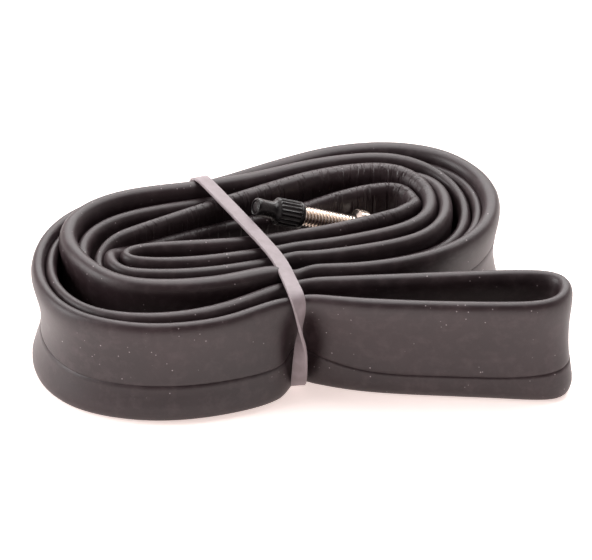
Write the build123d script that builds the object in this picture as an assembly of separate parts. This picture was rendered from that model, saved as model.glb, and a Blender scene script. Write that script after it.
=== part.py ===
from build123d import *
import math
import os

os.makedirs("parts", exist_ok=True)

# Bicycle inner tube, let down, pressed flat and coiled on edge. All sizes in mm.
# X runs along the coil, Y from its front to its back, Z up; the coil stands on Z = 0.

# Tube, pressed flat: two walls with a thin air space between them
FLAT_WIDTH = 34.0
FLAT_THICKNESS = 3.0
TUBE_WALL = 0.9
EDGE_WALL = 1.9
MAX_CORNER = 0.49
STRAIGHT = math.radians(0.3)

# Cuts across the front of the coil: x, then y of the eight strands from the outside in
FRONT_CUTS = [
    (26, (10.2, 24.2, 32.2, 35.7, 39.2, 42.7, 50.0, 59.4)),
    (12, (11.9, 22.2, 28.4, 31.9, 35.4, 38.9, 45.0, 52.8)),
    (0, (14.2, 20.4, 26.6, 30.1, 33.6, 37.1, 42.4, 49.0)),
    (-8, (11.2, 17.6, 24.0, 27.5, 31.0, 34.8, 40.5, 47.4)),
    (-20, (4.0, 11.3, 20.4, 24.1, 27.8, 31.6, 37.2, 44.7)),
    (-34, (0.6, 6.6, 18.0, 21.6, 25.2, 28.9, 34.0, 42.8)),
]
# Rays round the left end: angle, then distance of the six strands from LEFT_CENTRE
LEFT_CENTRE = (-48.3, 37.3)
LEFT_RAYS = [
    (270, (37.2, 31.8, 18.9, 15.4, 11.9, 8.4)),
    (240, (36.8, 31.3, 18.6, 15.1, 11.6, 8.1)),
    (210, (33.3, 27.9, 18.4, 14.9, 11.4, 7.9)),
    (180, (30.0, 25.0, 20.0, 15.8, 11.0, 7.4)),
    (150, (28.8, 25.1, 21.5, 17.3, 10.7, 7.1)),
    (120, (30.8, 27.2, 23.6, 19.5, 11.3, 7.6)),
    (90, (36.0, 32.3, 28.5, 23.2, 12.9, 9.2)),
]
# Cuts across the back: x, then y of the six strands from the outside in
BACK_CUTS = [
    (-30, (79.5, 75.8, 71.8, 67.6, 60.9, 56.6)),
    (-15, (83.9, 80.0, 76.2, 72.4, 68.0, 62.2)),
    (0, (91.0, 87.2, 83.4, 79.6, 75.8, 66.6)),
    (12, (95.2, 91.3, 87.2, 83.5, 79.8, 71.0)),
]
# Rays round the right end: angle, then distance of the six strands from RIGHT_CENTRE
RIGHT_CENTRE = (26, 66)
RIGHT_RAYS = [
    (90, (31.2, 27.4, 23.2, 19.4, 15.6, 10.2)),
    (60, (32.0, 28.1, 24.0, 19.2, 15.2, 9.8)),
    (30, (32.0, 27.9, 23.8, 17.8, 13.6, 8.1)),
    (0, (31.6, 27.5, 23.4, 17.4, 12.7, 8.5)),
    (-30, (32.2, 28.2, 24.2, 18.9, 13.3, 5.9)),
    (-60, (32.0, 28.4, 24.8, 21.2, 13.8, 5.9)),
]
# Ends of the two strands: the open loop at the front right and the small fold inside
OUTER_FOLD = [(78.4, 9.2), (60, 8.8)], [(78.4, 26.9), (60, 26.8)]
INNER_FOLD = [(-51.6, 33.6)], [(-51.6, 41.0)]
TURNS = 4
# Middle of the coil's outline, which becomes the origin
MIDDLE = (0.27, 48.46)

# Valve: a 48 mm Presta valve, pointing out of the innermost turn
VALVE_FOOT = (30.75, 70.2, 18.8)
VALVE_AXIS = (-0.866, -0.312, 0.39)
FOOT_R, FOOT_TOP_R, FOOT_H, FOOT_BACK = 6.4, 3.9, 5.0, 3.0
AIR_HOLE_R = 1.4
STEM_R = 2.97
STEM_TOP = 39.5
FLANGE_R, FLANGE_Z, FLANGE_H = 4.6, 1.6, 1.2
STEM_START = 1.0
STEM_BORE_R = 1.75
CORE_THREAD_R = 2.15
CORE_SEAT_Z = 30.5
BOND = 0.02

CORE_TOP = 41.7
CORE_HEAD_R = 2.3
CORE_FLATS = 4.0
CORE_SHANK_R = 2.1
CORE_BARREL_R = 1.45
CORE_BOTTOM = 24.0
CORE_BORE_R = 1.0
GASKET_H = 0.8
PIN_R = 0.92
PIN_TIP = 46.9
SEAL_R, SEAL_H = 1.3, 2.2
SEAL_LIFT = 0.05
PIN_FOOT = 0.5
KNURL_R, KNURL_H = 2.0, 2.6
KNURL_OPEN = 1.2
KNURL_TEETH = 18

RIM_NUT_Z, RIM_NUT_H = 13.8, 4.0
RIM_NUT_R = 5.05
RIM_NUT_TEETH = 30
RIM_NUT_BORE_R = 3.02

CAP_Z, CAP_LENGTH = 35.6, 15.2
CAP_SKIRT_R, CAP_SKIRT_H = 4.1, 8.3
CAP_RIM_H = 1.2
CAP_NOSE_R = 2.8
CAP_SHOULDER = 1.1
CAP_RIBS = 20
CAP_RIB_DEPTH = 0.25
CAP_BORE_R, CAP_BORE_H = 3.02, 8.4
CAP_NOSE_BORE_R = 2.25
CAP_END_WALL = 1.5
CAP_END_ROUND = 0.6

# Flat rubber band round the bundle
BAND_FRONT = (1.0, 10.0)
BAND_BACK = (-31.2, 82.6)
BAND_WIDTH = 5.0
BAND_THICKNESS = 0.8
BAND_BOTTOM = 0.1
BAND_TOP = FLAT_WIDTH + 0.05
BAND_CORNER = 2.4
GROOVE = 0.1


def on_rays(centre, rays, strand):
    """Corner points of one strand round one end of the coil."""
    points = []
    for angle, distances in rays:
        turn = math.radians(angle)
        reach = distances[strand]
        points.append((centre[0] + reach * math.cos(turn), centre[1] + reach * math.sin(turn)))
    return points


def half_route(side):
    """Corner points from the outer fold to the inner one: side 0 outer, side 1 inner."""
    points = list(OUTER_FOLD[side])
    for turn in range(TURNS):
        strand = side + 2 * turn
        points += [(x, ys[strand]) for x, ys in FRONT_CUTS]
        if turn < TURNS - 1:
            points += on_rays(LEFT_CENTRE, LEFT_RAYS, strand)
            points += [(x, ys[strand]) for x, ys in BACK_CUTS]
            points += on_rays(RIGHT_CENTRE, RIGHT_RAYS, strand)
    return points + INNER_FOLD[side]


def outline(points, shift):
    """Closed wire beside the route: straight runs joined by tangent arcs, moved out by shift."""
    corners = []
    count = len(points)
    for i in range(count):
        here = Vector(*points[i])
        back = here - Vector(*points[i - 1])
        ahead = Vector(*points[(i + 1) % count]) - here
        d1, d2 = back.normalized(), ahead.normalized()
        n1, n2 = Vector(-d1.Y, d1.X), Vector(-d2.Y, d2.X)
        half = math.acos(max(-1.0, min(1.0, d1.dot(d2)))) / 2
        if half < STRAIGHT:
            corners.append((here + n1 * shift, None, here + n1 * shift))
            continue
        cut = MAX_CORNER * min(back.length, ahead.length)
        inward = (d2 - d1).normalized()
        middle = here + inward * (cut * (1 / math.sin(half) - 1 / math.tan(half)))
        corners.append((
            here - d1 * cut + n1 * shift,
            middle + (n1 + n2).normalized() * shift,
            here + d2 * cut + n2 * shift,
        ))
    edges = []
    for i, (start, middle, end) in enumerate(corners):
        edges.append(Line(corners[i - 1][2], start))
        if middle is not None:
            edges.append(ThreePointArc(start, middle, end))
    return Wire(edges)


def flat_ring(points, half_thickness):
    return Face(outline(points, half_thickness), [outline(points, -half_thickness)])


def round_bar(radius, start, end):
    """Bar on the valve's own axis, from start to end above the tube."""
    return Pos(0, 0, start) * Cylinder(radius, end - start, align=(Align.CENTER, Align.CENTER, Align.MIN))


def toothed_bar(radius, depth, teeth, start, end):
    """Bar with straight grooves round it."""
    bar = round_bar(radius, start, end)
    groove_r = math.pi * radius / teeth / 2
    cutter = round_bar(groove_r, start, end)
    for k in range(teeth):
        bar -= Rot(0, 0, 360 / teeth * k) * Pos(radius + groove_r - depth, 0, 0) * cutter
    return bar


valve = Plane(origin=VALVE_FOOT, x_dir=(0.312, -0.866, 0), z_dir=VALVE_AXIS).location

# Tube body
route = half_route(0) + half_route(1)[::-1]
up = (0, 0, 1)
tube_outside = extrude(flat_ring(route, FLAT_THICKNESS / 2), FLAT_WIDTH, dir=up)
air = extrude(flat_ring(route, FLAT_THICKNESS / 2 - TUBE_WALL), FLAT_WIDTH - 2 * EDGE_WALL, dir=up)
tube = tube_outside - Pos(0, 0, EDGE_WALL) * air
tube -= valve * round_bar(AIR_HOLE_R, -2.0, 3.0)

# Rubber band: a flat ring standing in an upright plane across the coil
across = Vector(*BAND_BACK) - Vector(*BAND_FRONT)
band_length = across.length
band_height = BAND_TOP + BAND_THICKNESS - BAND_BOTTOM
band_plane = Plane(
    origin=(BAND_FRONT[0], BAND_FRONT[1], BAND_BOTTOM),
    x_dir=(across.X, across.Y, 0),
    z_dir=(across.Y, -across.X, 0),
)
middle = Pos(band_length / 2, band_height / 2)
band_outer = middle * RectangleRounded(band_length, band_height, BAND_CORNER)
band_inner = middle * RectangleRounded(
    band_length - 2 * BAND_THICKNESS,
    band_height - 2 * BAND_THICKNESS,
    BAND_CORNER - BAND_THICKNESS,
)
band = band_plane.location * extrude(band_outer - band_inner, BAND_WIDTH / 2, both=True)
groove_box = Pos(band_length / 2, (BAND_THICKNESS + GROOVE) / 2 - BAND_BOTTOM / 2) * Box(
    band_length, BAND_THICKNESS + GROOVE + BAND_BOTTOM, BAND_WIDTH + 2 * GROOVE
)
tube -= band_plane.location * groove_box

# Valve stem: brass tube with a flange held in the rubber foot
stem = round_bar(STEM_R, STEM_START, STEM_TOP) + round_bar(FLANGE_R, FLANGE_Z, FLANGE_Z + FLANGE_H)
stem -= round_bar(STEM_BORE_R, 0, STEM_TOP)
stem -= round_bar(CORE_THREAD_R, CORE_SEAT_Z, STEM_TOP)

# Rubber foot round the stem, lying on the tube
foot = Pos(0, 0, -FOOT_BACK) * Cone(
    FOOT_R, FOOT_TOP_R, FOOT_BACK + FOOT_H, align=(Align.CENTER, Align.CENTER, Align.MIN)
)
foot -= round_bar(STEM_R + BOND, STEM_START, FOOT_H)
foot -= round_bar(FLANGE_R + BOND, FLANGE_Z - BOND, FLANGE_Z + FLANGE_H + BOND)
foot -= round_bar(AIR_HOLE_R, -FOOT_BACK, STEM_START)
foot = valve * foot - tube_outside
foot = max(foot.solids(), key=lambda s: s.volume)

# Valve core: body, gasket on its seat, pin with seal, knurled nut
core = round_bar(CORE_SHANK_R, CORE_SEAT_Z + GASKET_H + BOND, STEM_TOP + BOND)
core += round_bar(CORE_BARREL_R, CORE_BOTTOM, CORE_SEAT_Z + GASKET_H + BOND)
head = round_bar(CORE_HEAD_R, STEM_TOP + BOND, CORE_TOP)
head &= Pos(0, 0, (STEM_TOP + CORE_TOP) / 2) * Box(CORE_FLATS, 3 * CORE_HEAD_R, CORE_TOP - STEM_TOP)
core += head
core -= round_bar(CORE_BORE_R, CORE_BOTTOM, CORE_TOP)
gasket = round_bar(CORE_THREAD_R - BOND, CORE_SEAT_Z + BOND, CORE_SEAT_Z + GASKET_H)
gasket -= round_bar(CORE_BARREL_R + BOND, CORE_SEAT_Z, CORE_SEAT_Z + GASKET_H)
seal_top = CORE_BOTTOM - SEAL_LIFT
seal_bottom = seal_top - SEAL_H
seal = round_bar(SEAL_R, seal_bottom, seal_top) - round_bar(PIN_R + BOND, seal_bottom, seal_top)
pin = round_bar(PIN_R, seal_bottom - BOND, PIN_TIP)
pin += round_bar(SEAL_R, seal_bottom - BOND - PIN_FOOT, seal_bottom - BOND)
knurl_z = CORE_TOP + KNURL_OPEN
knurl = toothed_bar(KNURL_R, 0.15, KNURL_TEETH, knurl_z, knurl_z + KNURL_H)
knurl -= round_bar(PIN_R + 2 * BOND, knurl_z, knurl_z + KNURL_H)

# Rim nut: round, with fine grooves and a domed upper side
rim_nut = toothed_bar(RIM_NUT_R, 0.3, RIM_NUT_TEETH, RIM_NUT_Z, RIM_NUT_Z + RIM_NUT_H)
dome = Pos(0, 0, RIM_NUT_Z - 3.2) * Sphere(8.0)
rim_nut &= dome
rim_nut -= round_bar(RIM_NUT_BORE_R, RIM_NUT_Z, RIM_NUT_Z + RIM_NUT_H)

# Dust cap: ribbed skirt with a plain rim, narrower plain nose
skirt_top = CAP_Z + CAP_SKIRT_H
cap = toothed_bar(CAP_SKIRT_R, CAP_RIB_DEPTH, CAP_RIBS, CAP_Z + CAP_RIM_H, skirt_top)
cap += round_bar(CAP_SKIRT_R, CAP_Z, CAP_Z + CAP_RIM_H)
cap += Pos(0, 0, skirt_top) * Cone(
    CAP_SKIRT_R - CAP_RIB_DEPTH, CAP_NOSE_R, CAP_SHOULDER, align=(Align.CENTER, Align.CENTER, Align.MIN)
)
nose = round_bar(CAP_NOSE_R, CAP_Z + CAP_SKIRT_H, CAP_Z + CAP_LENGTH)
nose = fillet(nose.edges().sort_by(Axis.Z)[-1], CAP_END_ROUND)
cap += nose
cap -= round_bar(CAP_BORE_R, CAP_Z, CAP_Z + CAP_BORE_H)
cap -= round_bar(CAP_NOSE_BORE_R, CAP_Z, CAP_Z + CAP_LENGTH - CAP_END_WALL)

pieces = {
    "tube_body": tube,
    "valve_foot": foot,
    "valve_stem": valve * stem,
    "rim_nut": valve * rim_nut,
    "core_body": valve * core,
    "core_gasket": valve * gasket,
    "core_pin": valve * pin,
    "core_seal": valve * seal,
    "core_nut": valve * knurl,
    "dust_cap": valve * cap,
    "rubber_band": band,
}
for name, piece in pieces.items():
    export_step(Pos(-MIDDLE[0], -MIDDLE[1], 0) * piece, f"parts/{name}.step")
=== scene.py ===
"""Bicycle inner tube coiled on edge: its rubber, valve and band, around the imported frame."""
import math

import bpy
from mathutils import Matrix, Vector, noise


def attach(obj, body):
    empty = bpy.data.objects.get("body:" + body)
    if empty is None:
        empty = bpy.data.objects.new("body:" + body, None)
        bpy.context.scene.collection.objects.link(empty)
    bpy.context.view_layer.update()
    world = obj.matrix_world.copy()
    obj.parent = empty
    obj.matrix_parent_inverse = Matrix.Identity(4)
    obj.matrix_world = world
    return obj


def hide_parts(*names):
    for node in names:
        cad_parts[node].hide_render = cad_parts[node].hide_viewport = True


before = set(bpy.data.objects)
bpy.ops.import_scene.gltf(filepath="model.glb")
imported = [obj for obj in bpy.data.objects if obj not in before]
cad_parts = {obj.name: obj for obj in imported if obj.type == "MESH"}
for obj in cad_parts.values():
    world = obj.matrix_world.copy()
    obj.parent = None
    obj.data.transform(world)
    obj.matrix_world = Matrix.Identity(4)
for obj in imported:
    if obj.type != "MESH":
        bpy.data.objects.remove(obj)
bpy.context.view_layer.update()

MM = 0.001
# Points nearer to each other than this are one
MERGE_DISTANCE = 0.002 * MM

# ---------------------------------------------------------------- sizes, in mm

# Middle of the coil's outline, which is the origin
MIDDLE = (0.27, 48.46)
FLAT_WIDTH = 34.0

# Four stretches of the coil, walked front, left, back, right. Each row is a cut: where it
# is, then the strands from the outside in. "cuts" holds x and the strands' y, or the
# angle and the strands' distance from "centre". "tops" is the height of each strand's
# upper edge: strands under 34 mm are pinched down between their neighbours, strands over
# it have ridden up. "leans" says how far the upper and lower edges stand out from the
# place in "cuts", "bows" how far the waist is pressed in, "seams" how high the seam runs,
# "fulls" how fat the strand is, and "creases" how wrinkled.
FRONT = {
    "cuts": [
        (26, (10.2, 24.2, 32.2, 35.7, 39.2, 42.7, 50.0, 59.4)),
        (12, (11.9, 22.2, 28.4, 31.9, 35.4, 38.9, 45.0, 52.8)),
        (3, (15.0, 22.0, 28.6, 31.6, 34.6, 37.8, 43.2, 49.8)),
        (-1.5, (19.4, 22.8, 28.4, 31.4, 34.6, 37.6, 42.4, 48.7)),
        (-6, (11.4, 18.6, 25.6, 29.0, 32.4, 35.8, 41.0, 47.6)),
        (-20, (4.0, 11.3, 20.4, 24.1, 27.8, 31.6, 37.2, 44.7)),
        (-34, (0.6, 6.6, 18.0, 21.6, 25.2, 28.9, 34.0, 42.8)),
    ],
    "tops": [
        (34, 34, 34, 30, 30, 34, 34, 34),
        (34, 34, 34, 29.5, 29.5, 34, 34, 34),
        (33.6, 33.6, 33.6, 29, 29, 33.8, 33.8, 34),
        (33.4, 32.0, 31.6, 29, 29, 33.8, 33.8, 34),
        (33.6, 34.0, 37.2, 30, 30, 33, 33.4, 33.6),
        (32.6, 32.6, 36.2, 30, 30, 32.8, 33.4, 33.6),
        (32.4, 32.4, 36, 30, 30, 32.8, 33.6, 34),
    ],
    "leans": {
        26: {0: (0, -3.2), 1: (0, -2.0)},
        12: {0: (0, -4.4), 1: (-1.0, -2.0), 2: (-1.7, -0.5)},
        3: {0: (0.8, -4.2), 1: (-1.5, -2.0), 2: (-2.6, -0.8), 5: (0.6, 0)},
        -1.5: {0: (6.6, -0.6), 1: (-0.6, -1.6), 2: (-0.6, 0)},
        -6: {0: (-1.4, 1.6), 1: (-1.4, -1.0)},
        -20: {0: (0, 1.8)},
        -34: {0: (0, 2.2)},
    },
    "bows": {
        26: {0: 1.0}, 12: {0: 0.8}, 3: {0: 1.0}, -1.5: {0: 5.0},
        -6: {0: -2.4}, -20: {0: 0.5}, -34: {0: 0.8},
    },
    "seams": {
        26: {0: 7.6}, 12: {0: 9.6}, 3: {0: 11.4}, -1.5: {0: 12.0},
        -6: {0: 12.0}, -20: {0: 12.2}, -34: {0: 12.2},
    },
    "fulls": {
        26: {0: 1.1, 1: 1.1},
        12: {0: 1.1, 1: 1.1},
        -1.5: {0: 0.9, 1: 0.9, 2: 0.9},
        -6: {1: 1.2, 2: 1.4},
        -20: {1: 1.2, 2: 1.4},
        -34: {1: 1.1, 2: 1.35},
    },
    "creases": {26: {7: 0.8}, 12: {7: 0.3}},
}
LEFT = {
    "centre": (-48.3, 37.3),
    "cuts": [
        (270, (37.2, 31.8, 18.9, 15.4, 11.9, 8.4)),
        (240, (36.8, 31.3, 18.6, 15.1, 11.6, 8.1)),
        (210, (33.3, 27.9, 18.4, 14.9, 11.4, 7.9)),
        (180, (30.0, 25.0, 20.0, 15.8, 11.0, 7.4)),
        (150, (28.8, 25.1, 21.5, 17.3, 10.7, 7.1)),
        (120, (30.8, 27.2, 23.6, 19.5, 11.3, 7.6)),
        (90, (36.0, 32.3, 28.5, 23.2, 12.9, 9.2)),
    ],
    "tops": [
        (32.4, 32.2, 36, 30.4, 30.4, 33),
        (32.6, 32.2, 36.2, 31.6, 30.8, 33.4),
        (33.2, 32.6, 36.6, 32.6, 31.2, 33.6),
        (34, 33.2, 37, 33.5, 32, 34),
        (34.4, 32.5, 37, 34, 33, 32.5),
        (33.5, 31.5, 37, 34, 34, 31),
        (33, 30.5, 37, 34, 34.5, 29.5),
    ],
    "leans": {
        270: {0: (0, 2.0)},
        240: {0: (-0.6, 1.4), 2: (-1.9, 0)},
        210: {0: (-1.2, 0.2), 2: (-2.1, 0)},
        180: {0: (-1.2, -0.4), 2: (-0.8, 0)},
        150: {0: (-0.6, -0.4), 2: (1.9, 0)},
        120: {2: (3.4, 0)},
        90: {2: (2.0, 0), 5: (1.0, 0)},
    },
    "bows": {
        270: {0: 1.0}, 240: {0: 1.6}, 210: {0: 2.2}, 180: {0: 2.4}, 150: {0: 2.0}, 120: {0: 1.0},
    },
    "seams": {
        270: {0: 12.2}, 240: {0: 12.2}, 210: {0: 12.6}, 180: {0: 13.0},
        150: {0: 14.0}, 120: {0: 16.0}, 90: {0: 17.0},
    },
    "fulls": {
        270: {2: 1.3},
        240: {2: 1.3, 1: 0.9},
        210: {2: 1.3, 1: 0.85, 4: 0.8},
        180: {0: 0.95, 2: 1.3, 1: 0.8, 4: 0.75},
        150: {0: 0.95, 2: 1.25, 1: 0.8, 4: 0.8},
        120: {2: 1.2, 1: 0.85},
        90: {2: 1.2},
    },
    "creases": {120: {4: 0.2, 5: 0.2}, 90: {4: 0.4, 5: 0.3}},
}
BACK = {
    "cuts": [
        (-30, (79.5, 75.8, 71.8, 67.6, 60.9, 56.6)),
        (-15, (83.9, 80.0, 76.2, 72.4, 68.0, 62.2)),
        (0, (91.0, 87.2, 83.4, 79.6, 75.8, 66.6)),
        (12, (95.2, 91.3, 87.2, 83.5, 79.8, 71.0)),
    ],
    "tops": [
        (30.4, 29.0, 36.2, 33, 35, 29),
        (33.2, 31, 36.0, 32, 36, 29),
        (34.0, 31, 36, 31, 36.5, 31),
        (34.5, 31, 36, 31, 36.5, 33.5),
    ],
    "leans": {
        -30: {5: (1.5, 0)},
        -15: {5: (1.8, 0)},
        0: {5: (0.5, -0.5)},
        12: {4: (0.8, 0), 5: (0.8, -0.6)},
    },
    "bows": {},
    "seams": {-30: {0: 18.0}, -15: {0: 19.0}, 0: {0: 20.0}, 12: {0: 21.0}},
    "fulls": {
        -30: {2: 1.2},
        -15: {0: 1.2, 2: 1.2, 4: 1.2},
        0: {0: 1.35, 2: 1.15, 4: 1.3},
        12: {0: 1.35, 2: 1.15, 4: 1.3},
    },
    "creases": {
        -30: {4: 0.6, 5: 0.6}, -15: {4: 0.8, 5: 1.0}, 0: {4: 0.9, 5: 1.0}, 12: {4: 1.0, 5: 1.0},
    },
}
RIGHT = {
    "centre": (26, 66),
    "cuts": [
        (90, (31.2, 27.4, 23.2, 19.4, 15.6, 10.2)),
        (60, (32.0, 28.1, 24.0, 19.2, 15.2, 9.8)),
        (30, (32.0, 27.9, 23.8, 17.8, 13.6, 8.1)),
        (0, (31.6, 27.5, 23.4, 17.4, 12.7, 8.5)),
        (-30, (32.2, 28.2, 24.2, 18.9, 13.3, 5.9)),
        (-60, (32.0, 28.4, 24.8, 21.2, 13.8, 5.9)),
    ],
    "tops": [
        (34.5, 31, 36, 32, 36, 33.5),
        (34.5, 31.5, 34, 33, 35, 33),
        (34, 31.5, 31.5, 34, 34, 33),
        (34, 31, 30.5, 34, 34, 34),
        (34, 30.5, 29.5, 34, 34, 34),
        (34, 30.5, 29.5, 34, 34, 34),
    ],
    "leans": {
        90: {4: (2.0, 0), 5: (0.8, -1.2)},
        60: {4: (0.6, 0), 5: (0.8, -1.2)},
        30: {5: (0.3, -2.0)},
    },
    "bows": {30: {0: 0.6}, 0: {0: 1.0}, -30: {0: 0.8}},
    "seams": {
        90: {0: 22.0}, 60: {0: 23.0}, 30: {0: 23.5}, 0: {0: 23.5}, -30: {0: 23.0}, -60: {0: 22.0},
    },
    "fulls": {
        90: {0: 1.35, 2: 1.1, 4: 1.25},
        60: {0: 1.35, 4: 1.2},
        30: {0: 1.3, 1: 0.9, 2: 0.9, 4: 1.15},
        0: {0: 1.25, 1: 0.8, 2: 0.85, 4: 1.1},
        -30: {0: 1.2, 1: 0.8, 2: 0.85, 4: 1.1},
        -60: {0: 1.1, 1: 0.9, 2: 0.9, 4: 1.05},
    },
    "creases": {90: {4: 0.8, 5: 1.0}, 60: {4: 0.5, 5: 1.0}, 30: {4: 0.2, 5: 0.9}, 0: {5: 0.6}},
}
# Rows at the two folds, where the outer and the inner half of the tube meet. At the outer
# one each row has its place, its lean and the height of its seam.
OUTER_FOLD = [
    [((78.4, 9.2), (-1.6, 0.9), 10.0), ((60, 8.8), (0, -2.7), 7.8)],
    [((77.6, 26.2), (-1.6, 1.8), 11.0), ((60, 26.8), (0, -2.0), 11.4)],
]
OUTER_FOLD_BOW = 0.4
INNER_FOLD = [(-51.6, 33.6)], [(-51.6, 41.0)]
INNER_FOLD_FULLNESS = 0.85
TURNS = 4
# Share of a strand's sinking, and of its rising, that its lower edge comes up by
FOOT_OF_SUNK = 0.3
FOOT_OF_RISEN = 0.6

# Section through the flat tube: height over its middle, then half thickness there.
# The edges are rolled and the faces are hollow.
SECTION = [
    (17.0, 0.0), (16.93, 0.55), (16.68, 1.1), (16.2, 1.55), (15.4, 1.92), (14.2, 2.12),
    (12.8, 2.14), (11.0, 2.0), (9.0, 1.78), (6.5, 1.5), (4.0, 1.3), (1.5, 1.2), (-1.0, 1.2),
    (-3.0, 1.28), (-5.0, 1.4), (-7.0, 1.62), (-9.0, 1.92), (-11.5, 2.3), (-13.6, 2.36),
    (-15.2, 1.95), (-16.3, 1.35), (-16.85, 0.7), (-17.0, 0.0),
]
# Heights of the points down each face. The ones at the seam make its groove, and they
# move with it.
FACE_HEIGHTS = [
    17.0, 16.9, 16.6, 16.1, 15.3, 14.2, 12.8, 11.0, 9.0, 6.5, 4.0, 1.5, -1.0, -3.0,
    -4.6, -5.35, -5.55, -5.65, -5.9, -7.0, -9.0, -11.5, -13.6, -15.2, -16.3, -16.85, -17.0,
]
# One round of the section: down one face, then up the other
FACE_POINTS = (
    [(height, 1) for height in FACE_HEIGHTS] + [(height, -1) for height in FACE_HEIGHTS[-2:0:-1]]
)
SEAM_GROOVE = {-5.35: -0.02, -5.55: -0.2, -5.65: -0.12, -5.9: 0.1, -7.0: 0.05}
SEAM_HEIGHT = -5.6
# Heights between which the points make way for the seam
SEAM_RANGE = -14.6, 13.5
USUAL_SEAM = 11.4
WAIST_HEIGHT = -3.0
WAIST_SHAPE = 1.5
# Unevenness of soft rubber: the seam strays by so many mm over a length, and the
# thickness swells by a share over another
SEAM_STRAY = 0.5
SEAM_STRAY_LENGTH = 30
SWELL = 0.06
SWELL_LENGTH = 14
RINGS_PER_ROW = 9

# Rubber band: middle line, then the way from its middle to its right edge. It lies over
# the strands, turns over once on the way down the front and once more at the back.
BAND_WIDTH = 4.7
BAND_THICKNESS = 0.9
BAND_ROWS = [
    ((-28.7, 71.8, 37.7), (0.85, 0.47, -0.2)),
    ((-23.2, 62.0, 37.2), (0.85, 0.47, -0.2)),
    ((-17.6, 52.3, 36.6), (0.85, 0.47, -0.2)),
    ((-12.0, 42.3, 35.9), (0.85, 0.47, -0.2)),
    ((-6.9, 33.0, 35.2), (0.87, 0.44, -0.2)),
    ((-4.6, 26.5, 34.8), (0.93, 0.3, -0.2)),
    ((-2.7, 19.0, 34.6), (0.92, 0.34, -0.2)),
    ((-0.9, 11.9, 34.9), (0.87, 0.45, 0.0)),
    ((0.2, 10.3, 30.5), (0.6, 0.8, 0.0)),
    ((0.3, 10.3, 24.0), (0.05, 1.0, 0.0)),
    ((0.3, 10.6, 19.5), (-0.55, 0.83, 0.0)),
    ((0.1, 11.0, 13.0), (-0.85, 0.5, 0.0)),
    ((-0.3, 12.6, 4.2), (-1.0, 0.1, 0.0)),
    ((-1.2, 16.5, 0.5), (-0.95, -0.3, 0.0)),
    ((-5.0, 25.0, 0.5), (-0.91, -0.41, 0.0)),
    ((-12.0, 40.0, 0.5), (-0.91, -0.41, 0.0)),
    ((-19.0, 55.0, 0.5), (-0.91, -0.41, 0.0)),
    ((-26.0, 70.0, 0.5), (-0.91, -0.41, 0.0)),
    ((-30.5, 79.5, 0.5), (-0.95, -0.3, 0.0)),
    ((-31.6, 83.0, 4.5), (-1.0, 0.0, 0.0)),
    ((-31.8, 83.6, 12.0), (-0.7, 0.7, 0.0)),
    ((-31.6, 83.4, 19.0), (0.2, 1.0, 0.0)),
    ((-31.4, 82.8, 26.0), (0.85, 0.5, 0.0)),
    ((-30.6, 80.4, 32.4), (0.9, 0.43, 0.0)),
    ((-29.6, 75.6, 35.4), (0.88, 0.47, -0.1)),
]
# Section of the band: shares of half its width and of its thickness
BAND_SECTION = [
    (1.0, -0.2), (1.0, 0.2), (0.93, 0.5), (0.0, 0.5), (-0.93, 0.5), (-1.0, 0.2), (-1.0, -0.2),
    (-0.93, -0.5), (0.0, -0.5), (0.93, -0.5),
]
# Where the band runs under the tube, which lifts over it
BAND_UNDER = (-1.2, 14.5), (-31.0, 81.0)
BAND_LIFT = 1.1
BAND_LIFT_REACH = 7.0

# Valve: its foot on the tube, its way out, and profiles as radius and height from the foot
VALVE_FOOT = (30.75, 70.2, 18.8)
VALVE_AXIS = (-0.866, -0.312, 0.39)
FOOT_PROFILE = [
    (0.0, -3.0), (6.1, -3.0), (6.35, -2.7), (5.9, -1.2), (5.3, 0.6), (4.8, 2.2), (4.35, 3.6),
    (4.0, 4.6), (3.7, 4.95), (3.3, 5.0), (0.0, 5.0),
]
STEM_PROFILE = [
    (1.75, 1.0), (2.6, 1.0), (2.6, 1.6), (4.5, 1.6), (4.6, 1.7), (4.6, 2.7), (4.5, 2.8), (2.5, 2.8),
    (2.5, 38.9), (2.35, 39.45), (2.25, 39.5), (2.15, 39.4), (2.15, 30.5), (1.75, 30.3),
]
# The real thread has a pitch of 0.79 mm, too fine to show, so it is drawn coarser
THREAD_PITCH = 1.1
THREAD_TURNS = 31
THREAD_START = 4.0
THREAD_STEPS = 28
THREAD_PROFILE = [(2.4, -0.4), (2.97, -0.18), (2.97, 0.18), (2.4, 0.4)]
CAP_RIBS = 20
CAP_RIB_DEPTH = 0.34
CAP_RIB_ROWS = 37.0, 43.6
# Only the outside of the skirt is farther out than this
CAP_SKIRT_INSIDE = 3.5
# Under 1 makes the flutes wide and the ribs narrow
CAP_FLUTE_SHAPE = 0.6
CAP_PROFILE = [
    (0.0, 49.3), (2.25, 49.3), (2.25, 44.0), (3.02, 44.0), (3.02, 36.0), (3.2, 35.6),
    (3.85, 35.6), (4.03, 35.68), (4.1, 35.85), (4.1, 36.5), (4.03, 36.68), (3.88, 36.76),
    (3.88, 36.95), (4.1, 37.1), (4.1, 38.5), (4.1, 40.0), (4.1, 41.5), (4.1, 43.2),
    (4.02, 43.45), (3.9, 43.65), (3.72, 43.85), (3.3, 44.2), (2.95, 44.55), (2.75, 44.9),
    (2.66, 45.3), (2.62, 46.0), (2.62, 47.0), (2.66, 48.0), (2.74, 49.0), (2.8, 49.6),
    (2.8, 50.1), (2.74, 50.42), (2.58, 50.66), (2.35, 50.78), (2.15, 50.8), (2.05, 50.72),
    (1.98, 50.45), (1.7, 50.45), (1.6, 50.62), (1.5, 50.7), (1.0, 50.75), (0.0, 50.75),
]
# Steps round a turned piece, and round the cap between two ribs
TURNED_STEPS = 40
CAP_STEPS_PER_RIB = 8

# ---------------------------------------------------------------- helpers


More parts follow.
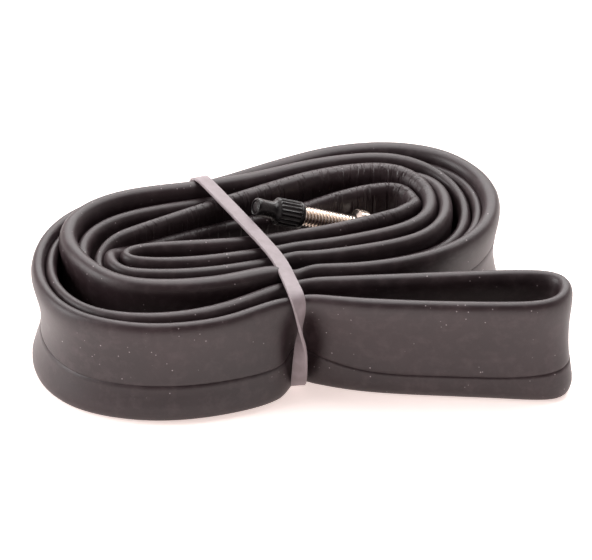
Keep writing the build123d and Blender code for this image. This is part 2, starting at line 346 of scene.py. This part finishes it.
def deselect():
    """Leaves any edit mode and selects nothing."""
    if bpy.context.object and bpy.context.object.mode != "OBJECT":
        bpy.ops.object.mode_set(mode="OBJECT")
    bpy.ops.object.select_all(action="DESELECT")


def pick(obj):
    """Makes one piece the selected and active one."""
    deselect()
    obj.select_set(True)
    bpy.context.view_layer.objects.active = obj


def face_out(obj):
    """Merges doubles and turns every face outwards."""
    pick(obj)
    bpy.ops.object.mode_set(mode="EDIT")
    bpy.ops.mesh.select_all(action="SELECT")
    bpy.ops.mesh.remove_doubles(threshold=MERGE_DISTANCE)
    bpy.ops.mesh.normals_make_consistent(inside=False)
    bpy.ops.object.mode_set(mode="OBJECT")


def new_piece(name, points, edges, faces):
    """Piece from an outline's edges or a skin's faces, its points in mm."""
    mesh = bpy.data.meshes.new(name)
    mesh.from_pydata([Vector(p) * MM for p in points], edges, faces)
    obj = bpy.data.objects.new(name, mesh)
    bpy.context.collection.objects.link(obj)
    return obj


def ring_shares(ring, rows):
    """Shares that four neighbouring rows have in one ring, along a smooth closed spline."""
    start, step = divmod(ring, RINGS_PER_ROW)
    t = step / RINGS_PER_ROW
    shares = (
        (1 - t) ** 3 / 6,
        (3 * t ** 3 - 6 * t ** 2 + 4) / 6,
        (-3 * t ** 3 + 3 * t ** 2 + 3 * t + 1) / 6,
        t ** 3 / 6,
    )
    return [((start + i) % rows, share) for i, share in enumerate(shares)]


def blend(values, shares):
    """The rows' values, vectors or numbers, mixed by their shares."""
    total = values[shares[0][0]] * shares[0][1]
    for row, share in shares[1:]:
        total = total + values[row] * share
    return total


def closed_skin(name, rings):
    """Piece with a skin over closed rings, the last joined to the first."""
    around = len(rings[0])
    points = [point for ring in rings for point in ring]
    faces = []
    for i in range(len(rings)):
        here = i * around
        ahead = (i + 1) % len(rings) * around
        for j in range(around):
            k = (j + 1) % around
            faces.append((here + j, ahead + j, ahead + k, here + k))
    return new_piece(name, points, [], faces)


# ---------------------------------------------------------------- materials


def srgb(code):
    """Linear colour from an sRGB hex value."""
    channels = [int(code[i:i + 2], 16) / 255 for i in (1, 3, 5)]
    linear = [c / 12.92 if c <= 0.04045 else ((c + 0.055) / 1.055) ** 2.4 for c in channels]
    return (*linear, 1.0)


def node(tree, kind, inputs=None, **settings):
    """One node with its settings; inputs are values or sockets."""
    made = tree.nodes.new(kind)
    for key, value in settings.items():
        setattr(made, key, value)
    for key, value in (inputs or {}).items():
        if isinstance(value, bpy.types.NodeSocket):
            tree.links.new(value, made.inputs[key])
        else:
            made.inputs[key].default_value = value
    return made


def material(name, **values):
    """New material with its shader's plain values set; returns it, its tree and its shader."""
    made = bpy.data.materials.new(name)
    made.use_nodes = True
    shader = made.node_tree.nodes["Principled BSDF"]
    for key, value in values.items():
        shader.inputs[key.replace("_", " ")].default_value = value
    return made, made.node_tree, shader


def butyl_rubber():
    """Moulded butyl rubber, dusted with talc: warm dark grey, dull, with a few pale specks."""
    made, tree, shader = material("moulded_butyl_rubber", IOR=1.5)
    place = node(tree, "ShaderNodeTexCoord").outputs["Object"]
    # broad cloudy change of shade, patches of 25 mm
    cloud = node(tree, "ShaderNodeTexNoise", {"Vector": place, "Scale": 40.0, "Detail": 3.0})
    shade = node(tree, "ShaderNodeMapRange", {
        "Value": cloud.outputs["Fac"], "From Min": 0.35, "From Max": 0.65,
    })
    base = node(tree, "ShaderNodeMix", {
        0: shade.outputs["Result"], 6: srgb("#22171a"), 7: srgb("#2b1e21"),
    }, data_type="RGBA")
    # talc film lies in soft streaks, 4 mm apart
    streak = node(tree, "ShaderNodeTexNoise", {
        "Vector": place, "Scale": 250.0, "Detail": 6.0, "Roughness": 0.65,
    })
    film = node(tree, "ShaderNodeMapRange", {
        "Value": streak.outputs["Fac"], "From Min": 0.48, "From Max": 0.8, "To Max": 0.11,
    })
    dusty = node(tree, "ShaderNodeMix", {
        0: film.outputs["Result"], 6: base.outputs[2], 7: srgb("#8f7d81"),
    }, data_type="RGBA")
    # single grains of talc, 0.4 mm across, in loose groups 14 mm apart
    grains = node(tree, "ShaderNodeTexVoronoi", {"Vector": place, "Scale": 400.0})
    odd = node(tree, "ShaderNodeTexNoise", {"Vector": place, "Scale": 70.0, "Detail": 2.0})
    rare = node(tree, "ShaderNodeMapRange", {
        "Value": odd.outputs["Fac"], "From Min": 0.5, "From Max": 0.56,
    })
    spot = node(tree, "ShaderNodeMapRange", {
        "Value": grains.outputs["Distance"], "From Min": 0.1, "From Max": 0.05,
    })
    speck = node(tree, "ShaderNodeMath", {
        0: spot.outputs["Result"], 1: rare.outputs["Result"],
    }, operation="MULTIPLY")
    colour = node(tree, "ShaderNodeMix", {
        0: speck.outputs[0], 6: dusty.outputs[2], 7: srgb("#968b8e"),
    }, data_type="RGBA")
    tree.links.new(colour.outputs[2], shader.inputs["Base Color"])
    rough = node(tree, "ShaderNodeMapRange", {
        "Value": streak.outputs["Fac"], "To Min": 0.36, "To Max": 0.56,
    })
    tree.links.new(rough.outputs["Result"], shader.inputs["Roughness"])
    # wrinkles across the tube, 2.4 mm apart and drawn out crosswise, where it is bent tightly
    lay = node(tree, "ShaderNodeUVMap", uv_map="UVMap")
    stretch = node(tree, "ShaderNodeMapping", {
        "Vector": lay.outputs["UV"], "Scale": (1.0, 0.14, 1.0),
    })
    ripple = node(tree, "ShaderNodeTexNoise", {
        "Vector": stretch.outputs["Vector"], "Scale": 420.0, "Detail": 2.0,
    })
    ridge = node(tree, "ShaderNodeMapRange", {
        "Value": ripple.outputs["Fac"], "From Min": 0.42, "From Max": 0.5,
    })
    where = node(tree, "ShaderNodeAttribute", attribute_name="creasing")
    fold = node(tree, "ShaderNodeMath", {
        0: ridge.outputs["Result"], 1: where.outputs["Fac"],
    }, operation="MULTIPLY")
    creased = node(tree, "ShaderNodeBump", {
        "Height": fold.outputs[0], "Strength": 0.75, "Distance": 0.4 * MM,
    })
    # grain of the mould, drawn as coarse as 0.7 mm so that it shows
    grain = node(tree, "ShaderNodeTexNoise", {"Vector": place, "Scale": 1400.0, "Detail": 3.0})
    bump = node(tree, "ShaderNodeBump", {
        "Height": grain.outputs["Fac"], "Strength": 0.1, "Distance": 0.2 * MM,
        "Normal": creased.outputs["Normal"],
    })
    tree.links.new(bump.outputs["Normal"], shader.inputs["Normal"])
    return made


def nickel_plate(name, dark, light):
    """Nickel-plated turned brass: bright, faintly warm metal; its darker, browner copy is grime and
    painted shade at the bottom of the thread.
    """
    made, tree, shader = material(name, Metallic=1.0)
    place = node(tree, "ShaderNodeTexCoord").outputs["Object"]
    # faint wear in patches of 2 mm
    wear = node(tree, "ShaderNodeTexNoise", {"Vector": place, "Scale": 500.0, "Detail": 4.0})
    tint = node(tree, "ShaderNodeMix", {
        0: wear.outputs["Fac"], 6: srgb(dark), 7: srgb(light),
    }, data_type="RGBA")
    tree.links.new(tint.outputs[2], shader.inputs["Base Color"])
    rough = node(tree, "ShaderNodeMapRange", {
        "Value": wear.outputs["Fac"], "To Min": 0.14, "To Max": 0.28,
    })
    tree.links.new(rough.outputs["Result"], shader.inputs["Roughness"])
    return made


def turned_brass():
    """Bare turned brass: warm yellow, unevenly dulled by handling."""
    made, tree, shader = material("turned_brass", Metallic=1.0)
    place = node(tree, "ShaderNodeTexCoord").outputs["Object"]
    # dulled spots a little over 1 mm apart
    mark = node(tree, "ShaderNodeTexNoise", {"Vector": place, "Scale": 800.0, "Detail": 3.0})
    tint = node(tree, "ShaderNodeMix", {
        0: mark.outputs["Fac"], 6: srgb("#b08d45"), 7: srgb("#dfc07a"),
    }, data_type="RGBA")
    tree.links.new(tint.outputs[2], shader.inputs["Base Color"])
    rough = node(tree, "ShaderNodeMapRange", {
        "Value": mark.outputs["Fac"], "To Min": 0.2, "To Max": 0.36,
    })
    tree.links.new(rough.outputs["Result"], shader.inputs["Roughness"])
    return made


def moulded_plastic():
    """Injection-moulded black polyethylene: deep black, half glossy, with soft highlights."""
    made, tree, shader = material("moulded_polyethylene", IOR=1.5, Specular_IOR_Level=0.4)
    place = node(tree, "ShaderNodeTexCoord").outputs["Object"]
    # skin of the mould, about 1 mm coarse
    skin = node(tree, "ShaderNodeTexNoise", {"Vector": place, "Scale": 900.0, "Detail": 3.0})
    tint = node(tree, "ShaderNodeMix", {
        0: skin.outputs["Fac"], 6: srgb("#070506"), 7: srgb("#110e10"),
    }, data_type="RGBA")
    tree.links.new(tint.outputs[2], shader.inputs["Base Color"])
    rough = node(tree, "ShaderNodeMapRange", {
        "Value": skin.outputs["Fac"], "To Min": 0.22, "To Max": 0.36,
    })
    tree.links.new(rough.outputs["Result"], shader.inputs["Roughness"])
    bump = node(tree, "ShaderNodeBump", {
        "Height": skin.outputs["Fac"], "Strength": 0.08, "Distance": 0.1 * MM,
    })
    tree.links.new(bump.outputs["Normal"], shader.inputs["Normal"])
    return made


def band_rubber():
    """Natural rubber with grey filler: smooth, pale warm grey, slightly dusty."""
    made, tree, shader = material("filled_natural_rubber", IOR=1.52)
    place = node(tree, "ShaderNodeTexCoord").outputs["Object"]
    # dust in patches of 3 mm
    cloud = node(tree, "ShaderNodeTexNoise", {"Vector": place, "Scale": 300.0, "Detail": 5.0})
    shade = node(tree, "ShaderNodeMapRange", {
        "Value": cloud.outputs["Fac"], "From Min": 0.3, "From Max": 0.7,
    })
    tint = node(tree, "ShaderNodeMix", {
        0: shade.outputs["Result"], 6: srgb("#7d7275"), 7: srgb("#908589"),
    }, data_type="RGBA")
    tree.links.new(tint.outputs[2], shader.inputs["Base Color"])
    rough = node(tree, "ShaderNodeMapRange", {
        "Value": cloud.outputs["Fac"], "To Min": 0.42, "To Max": 0.6,
    })
    tree.links.new(rough.outputs["Result"], shader.inputs["Roughness"])
    bump = node(tree, "ShaderNodeBump", {
        "Height": cloud.outputs["Fac"], "Strength": 0.15, "Distance": 0.2 * MM,
    })
    tree.links.new(bump.outputs["Normal"], shader.inputs["Normal"])
    return made


def sealing_rubber():
    """Moulded nitrile rubber: plain black, dull."""
    made, tree, shader = material("moulded_nitrile_rubber", IOR=1.52)
    place = node(tree, "ShaderNodeTexCoord").outputs["Object"]
    # slight change of shade, a little under 2 mm across
    cloud = node(tree, "ShaderNodeTexNoise", {"Vector": place, "Scale": 600.0, "Detail": 2.0})
    tint = node(tree, "ShaderNodeMix", {
        0: cloud.outputs["Fac"], 6: srgb("#121111"), 7: srgb("#1f1d1d"),
    }, data_type="RGBA")
    tree.links.new(tint.outputs[2], shader.inputs["Base Color"])
    rough = node(tree, "ShaderNodeMapRange", {
        "Value": cloud.outputs["Fac"], "To Min": 0.5, "To Max": 0.7,
    })
    tree.links.new(rough.outputs["Result"], shader.inputs["Roughness"])
    return made


RUBBER = butyl_rubber()
NICKEL = nickel_plate("nickel_plated_brass", "#e6dacd", "#fbf3ea")
# darker, browner nickel for the stem's core: painted shade, with some grime, in the roots of the
# thread
NICKEL_GRIME_AND_PAINTED_SHADE = nickel_plate("nickel_plated_brass_grime_and_painted_shade", "#8b786b", "#a99a8d")
BRASS = turned_brass()
PLASTIC = moulded_plastic()
BAND = band_rubber()
SEAL = sealing_rubber()


def dress(obj, finish):
    """Gives the whole piece one material."""
    obj.data.materials.clear()
    obj.data.materials.append(finish)


# ---------------------------------------------------------------- tube


# What a strand has at a cut where the tables say nothing
USUAL_SHAPING = {"leans": (0, 0), "bows": 0.0, "seams": USUAL_SEAM, "fulls": 1.0, "creases": 0.0}


def stretch_rows(stretch, strand):
    """One strand's place, upper edge and shaping at each cut of a stretch."""
    rows = []
    for (key, spots), tops in zip(stretch["cuts"], stretch["tops"]):
        place = Vector((key, spots[strand]))
        if "centre" in stretch:
            turn = math.radians(key)
            ray = Vector((math.cos(turn), math.sin(turn)))
            place = Vector(stretch["centre"]) + ray * spots[strand]
        shaping = [
            stretch[part].get(key, {}).get(strand, usual) for part, usual in USUAL_SHAPING.items()
        ]
        rows.append((place, tops[strand], *shaping))
    return rows


def half_route(side):
    """Rows of one half of the tube, from the outer fold to the inner one."""
    rows = [
        (Vector(place), FLAT_WIDTH, lean, OUTER_FOLD_BOW, seam, 1.0, 0.0)
        for place, lean, seam in OUTER_FOLD[side]
    ]
    for turn in range(TURNS):
        stretches = [FRONT, LEFT, BACK, RIGHT] if turn < TURNS - 1 else [FRONT]
        for stretch in stretches:
            rows += stretch_rows(stretch, side + 2 * turn)
    fold = (FLAT_WIDTH, (0, 0), 0.0, USUAL_SEAM, INNER_FOLD_FULLNESS, 0.0)
    return rows + [(Vector(place), *fold) for place in INNER_FOLD[side]]


def lift_over_band(place):
    """How far the lower edge is raised where the band runs beneath it."""
    start, end = (Vector(p) for p in BAND_UNDER)
    run = (end - start).normalized()
    away = abs(run.cross(place.xy - start))
    return BAND_LIFT * max(0.0, 1 - (away / BAND_LIFT_REACH) ** 2) ** 2


def half_thickness(height):
    """Half thickness of the section at a height over its middle."""
    for (upper, above), (lower, below) in zip(SECTION, SECTION[1:]):
        if height >= lower:
            return above + (below - above) * (upper - height) / (upper - lower)
    return 0.0


def face_point(height, seam):
    """Height with the seam moved to its own height, and the half thickness there."""
    low, high = SEAM_RANGE
    moved = height
    if SEAM_HEIGHT <= height < high:
        moved = high + (height - high) * (high - seam) / (high - SEAM_HEIGHT)
    elif low < height < SEAM_HEIGHT:
        moved = low + (height - low) * (seam - low) / (SEAM_HEIGHT - low)
    return moved, half_thickness(moved) + SEAM_GROOVE.get(height, 0.0)


def tube_rings():
    """Rings of points round the tube, with each ring's creasing."""
    outer, inner = half_route(0), half_route(1)[::-1]
    rows = [(row, 1) for row in outer] + [(row, -1) for row in inner]
    feet, heads, shapings = [], [], []
    for i, ((place, top, (top_out, foot_out), bow, seam, full, crease), way) in enumerate(rows):
        run = (rows[(i + 1) % len(rows)][0][0] - rows[i - 1][0][0]).normalized()
        outward = Vector((-run.y, run.x)) * way
        raised = max(0, FLAT_WIDTH - top) * FOOT_OF_SUNK + max(0, top - FLAT_WIDTH) * FOOT_OF_RISEN
        heads.append(Vector((*(place + outward * top_out), top)))
        feet.append(Vector((*(place + outward * foot_out), raised)))
        shapings.append(Vector((bow * way, seam - FLAT_WIDTH / 2, full, crease)))
    count = len(rows) * RINGS_PER_ROW
    shares = [ring_shares(k, len(rows)) for k in range(count)]
    tops = [blend(heads, share) for share in shares]
    lows = [blend(feet, share) for share in shares]
    middles = [(top + low) / 2 for top, low in zip(tops, lows)]
    rings, marks, length = [], [], 0.0
    for k in range(count):
        run = (middles[(k + 1) % count] - middles[k - 1]).normalized()
        length += (middles[k] - middles[k - 1]).length if k else 0.0
        low = lows[k] + Vector((0, 0, lift_over_band(lows[k])))
        stand = tops[k] - low
        side = run.cross(stand).normalized()
        bow, seam, full, crease = blend(shapings, shares[k])
        seam += SEAM_STRAY * noise.noise(Vector((length / SEAM_STRAY_LENGTH, 0.4, 0.0)))
        ring = []
        for start, hand in FACE_POINTS:
            height, half = face_point(start, seam)
            share = (height + FLAT_WIDTH / 2) / FLAT_WIDTH
            swell = 1 + SWELL * noise.noise(Vector((length / SWELL_LENGTH, share * 2, 3.0 * hand)))
            from_waist = (height - WAIST_HEIGHT) / (FLAT_WIDTH / 2)
            press = bow * max(0.0, 1 - from_waist ** 2) ** WAIST_SHAPE
            place = low + stand * share + side * (half * full * swell * hand + press)
            ring.append(place - Vector((*MIDDLE, 0)))
        rings.append(ring)
        marks.append((length, crease))
    return rings, marks


def mark_surface(obj, marks):
    """UV map in metres along and round the tube, and how wrinkled each point is."""
    around = len(FACE_POINTS)
    mesh = obj.data
    creasing = mesh.attributes.new("creasing", "FLOAT", "POINT")
    for vertex in mesh.vertices:
        creasing.data[vertex.index].value = marks[vertex.index // around][1]
    layer = mesh.uv_layers.new(name="UVMap")
    whole = marks[-1][0]
    for face in mesh.polygons:
        spots = [divmod(mesh.loops[i].vertex_index, around) for i in face.loop_indices]
        last = max(ring for ring, _ in spots) == len(marks) - 1
        seam = max(j for _, j in spots) == around - 1
        for i, (ring, j) in zip(face.loop_indices, spots):
            along = whole if last and ring == 0 else marks[ring][0]
            across = around if seam and j == 0 else j
            layer.data[i].uv = (along * MM, across / around * 2 * FLAT_WIDTH * MM)


tube_skin, tube_marks = tube_rings()
tube = closed_skin("inner_tube", tube_skin)
mark_surface(tube, tube_marks)
face_out(tube)
bpy.ops.object.shade_smooth()
dress(tube, RUBBER)
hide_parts("tube_body")
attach(tube, "tube")

# ---------------------------------------------------------------- band


def band_rings():
    """Rings of points round the band's section, along its route."""
    places = [Vector(place) - Vector((*MIDDLE, 0)) for place, _ in BAND_ROWS]
    edges = [Vector(edge).normalized() for _, edge in BAND_ROWS]
    count = len(BAND_ROWS) * RINGS_PER_ROW
    shares = [ring_shares(k, len(BAND_ROWS)) for k in range(count)]
    middles = [blend(places, share) for share in shares]
    rings = []
    for k in range(count):
        run = (middles[(k + 1) % count] - middles[k - 1]).normalized()
        edge = blend(edges, shares[k])
        edge = (edge - run * edge.dot(run)).normalized()
        out = edge.cross(run)
        rings.append([
            middles[k] + edge * (x * BAND_WIDTH / 2) + out * (y * BAND_THICKNESS)
            for x, y in BAND_SECTION
        ])
    return rings


band = closed_skin("rubber_band_strip", band_rings())
face_out(band)
bpy.ops.object.shade_smooth_by_angle(angle=math.radians(50))
dress(band, BAND)
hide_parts("rubber_band")
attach(band, "tube")

# ---------------------------------------------------------------- valve


def lathe(name, profile, steps, closed):
    """Piece turned from a profile of radius and height, standing on the origin."""
    points = [(r, 0, u) for r, u in profile]
    edges = [(i, i + 1) for i in range(len(points) - 1)]
    if closed:
        edges.append((len(points) - 1, 0))
    obj = new_piece(name, points, edges, [])
    pick(obj)
    bpy.ops.object.mode_set(mode="EDIT")
    bpy.ops.mesh.select_all(action="SELECT")
    bpy.ops.mesh.spin(steps=steps, angle=math.tau, center=(0, 0, 0), axis=(0, 0, 1))
    bpy.ops.object.mode_set(mode="OBJECT")
    face_out(obj)
    return obj


def stand_on_valve(obj):
    """Turns a piece made upright onto the valve's axis and sets it in its place."""
    axis = Vector(VALVE_AXIS).normalized()
    side = Vector((-VALVE_AXIS[1], VALVE_AXIS[0], 0)).normalized()
    turn = Matrix((side, axis.cross(side), axis)).transposed().to_4x4()
    foot = (Vector(VALVE_FOOT) - Vector((*MIDDLE, 0))) * MM
    obj.matrix_world = Matrix.Translation(foot) @ turn
    pick(obj)
    bpy.ops.object.transform_apply(location=True, rotation=True, scale=True)


def screw_thread():
    """Ridge wound round the stem, closed at both ends."""
    outline = [(0, 1), (1, 2), (2, 3), (3, 0)]
    obj = new_piece("thread", [(r, 0, u) for r, u in THREAD_PROFILE], outline, [])
    wind = obj.modifiers.new("wind", "SCREW")
    wind.screw_offset = THREAD_PITCH * MM
    wind.iterations = THREAD_TURNS
    wind.steps = wind.render_steps = THREAD_STEPS
    wind.use_merge_vertices = False
    pick(obj)
    bpy.ops.object.modifier_apply(modifier="wind")
    bpy.ops.object.mode_set(mode="EDIT")
    bpy.ops.mesh.select_all(action="DESELECT")
    bpy.ops.mesh.select_non_manifold()
    bpy.ops.mesh.fill_holes(sides=0)
    bpy.ops.object.mode_set(mode="OBJECT")
    for vertex in obj.data.vertices:
        vertex.co.z += THREAD_START * MM
    face_out(obj)
    return obj


def rib_cap(obj):
    """Presses rounded flutes into the cap's skirt, one between each two ribs."""
    low, high = CAP_RIB_ROWS
    for vertex in obj.data.vertices:
        radius = vertex.co.xy.length
        if low * MM < vertex.co.z < high * MM and radius > CAP_SKIRT_INSIDE * MM:
            turn = math.atan2(vertex.co.y, vertex.co.x) * CAP_RIBS
            depth = CAP_RIB_DEPTH * MM * (0.5 - 0.5 * math.cos(turn)) ** CAP_FLUTE_SHAPE
            vertex.co.xy *= (radius - depth) / radius


foot = lathe("valve_patch", FOOT_PROFILE, TURNED_STEPS, closed=False)
stand_on_valve(foot)
bpy.ops.object.shade_smooth_by_angle(angle=math.radians(40))
dress(foot, RUBBER)
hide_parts("valve_foot")
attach(foot, "tube")

stem = lathe("threaded_stem", STEM_PROFILE, TURNED_STEPS, closed=True)
thread = screw_thread()
# painted shade and grime darken the bottom of the thread, between its ridges: the stem's core takes
# the darker, browner nickel
dress(stem, NICKEL_GRIME_AND_PAINTED_SHADE)
dress(thread, NICKEL)
pick(stem)
thread.select_set(True)
bpy.ops.object.join()
stand_on_valve(stem)
bpy.ops.object.shade_smooth_by_angle(angle=math.radians(35))
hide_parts("valve_stem")
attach(stem, "tube")

cap = lathe("valve_cap", CAP_PROFILE, CAP_RIBS * CAP_STEPS_PER_RIB, closed=False)
rib_cap(cap)
stand_on_valve(cap)
bpy.ops.object.shade_smooth_by_angle(angle=math.radians(40))
dress(cap, PLASTIC)
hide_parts("dust_cap")
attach(cap, "cap")

for name, finish in {
    "rim_nut": NICKEL,
    "core_body": BRASS,
    "core_gasket": SEAL,
    "core_pin": BRASS,
    "core_seal": SEAL,
    "core_nut": NICKEL,
}.items():
    dress(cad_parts[name], finish)

# ---------------------------------------------------------------- floor, light and camera


FLOOR_SIZE = 6.0
# Just under the lowest rubber, so that the two don't show through each other
FLOOR_HEIGHT = -0.2 * MM
TABLE_GLOW = 0.7
# Direction of the camera's hole in the tent, how bright the tent is away from it and in
# it, and how closely a direction agrees with the hole's where the dark starts and ends
TENT_HOLE = Vector((0.2, -0.68, 0.7))
TENT_LIGHT = 0.95
TENT_DARK = 0.12
TENT_EDGE = 0.3, 0.9
# Soft boxes: place and size in metres, power in watts
SOFT_BOXES = {
    "top_softbox": ((0.1, 0.25, 0.9), (0.9, 0.6), 7.0),
    "left_softbox": ((-0.8, -0.1, 0.4), (0.5, 0.6), 6.0),
    "back_softbox": ((0.1, 1.2, 0.8), (1.6, 0.6), 16.0),
}
SOFT_BOX_AIM = Vector((0, 0, 15 * MM))
# Camera: far away with a long lens, looking down at the coil's front
CAMERA_DISTANCE = 3.0
CAMERA_HEIGHT_ANGLE = math.radians(32.5)
CAMERA_AIM = Vector((-1.45 * MM, 2.0 * MM, 15.7 * MM))
VIEW_WIDTH = 174.1176 * MM
SENSOR_WIDTH = 36.0
CLIP_END = 20.0


def floor():
    """White table top, lit through from below as for catalogue pictures."""
    deselect()
    bpy.ops.mesh.primitive_plane_add(size=FLOOR_SIZE, location=(0, 0, FLOOR_HEIGHT))
    ground = bpy.context.object
    ground.name = "floor"
    made, _, shader = material("white_table", Roughness=0.9)
    shader.inputs["Base Color"].default_value = srgb("#f4f2f1")
    shader.inputs["Emission Color"].default_value = srgb("#ffece6")
    shader.inputs["Emission Strength"].default_value = TABLE_GLOW
    dress(ground, made)


def area_light(name, place, size, power):
    """Soft box that faces the coil."""
    lamp = bpy.data.lights.new(name, "AREA")
    lamp.shape = "RECTANGLE"
    lamp.size, lamp.size_y = size
    lamp.energy = power
    obj = bpy.data.objects.new(name, lamp)
    bpy.context.collection.objects.link(obj)
    obj.location = place
    obj.rotation_euler = (SOFT_BOX_AIM - Vector(place)).to_track_quat("-Z", "Y").to_euler()


def studio_world():
    """Light tent: bright and faintly warm all round, dark where the camera's hole is."""
    world = bpy.data.worlds.new("studio")
    bpy.context.scene.world = world
    world.use_nodes = True
    tree = world.node_tree
    way = node(tree, "ShaderNodeTexCoord").outputs["Generated"]
    toward_hole = node(tree, "ShaderNodeVectorMath", {
        0: way, 1: TENT_HOLE,
    }, operation="DOT_PRODUCT")
    start, end = TENT_EDGE
    fade = node(tree, "ShaderNodeMapRange", {
        "Value": toward_hole.outputs["Value"], "From Min": start, "From Max": end,
        "To Min": TENT_LIGHT, "To Max": TENT_DARK,
    })
    background = tree.nodes["Background"]
    background.inputs["Color"].default_value = srgb("#fff0ee")
    tree.links.new(fade.outputs["Result"], background.inputs["Strength"])


floor()
for name, (place, size, power) in SOFT_BOXES.items():
    area_light(name, place, size, power)
studio_world()
bpy.context.scene.view_settings.view_transform = "Standard"

lens = bpy.data.cameras.new("camera")
lens.sensor_width = SENSOR_WIDTH
lens.lens = SENSOR_WIDTH * CAMERA_DISTANCE / VIEW_WIDTH
lens.clip_end = CLIP_END
camera = bpy.data.objects.new("camera", lens)
bpy.context.collection.objects.link(camera)
toward = Vector((0, -math.cos(CAMERA_HEIGHT_ANGLE), math.sin(CAMERA_HEIGHT_ANGLE)))
camera.location = CAMERA_AIM + toward * CAMERA_DISTANCE
camera.rotation_euler = (-toward).to_track_quat("-Z", "Y").to_euler()
bpy.context.scene.camera = camera
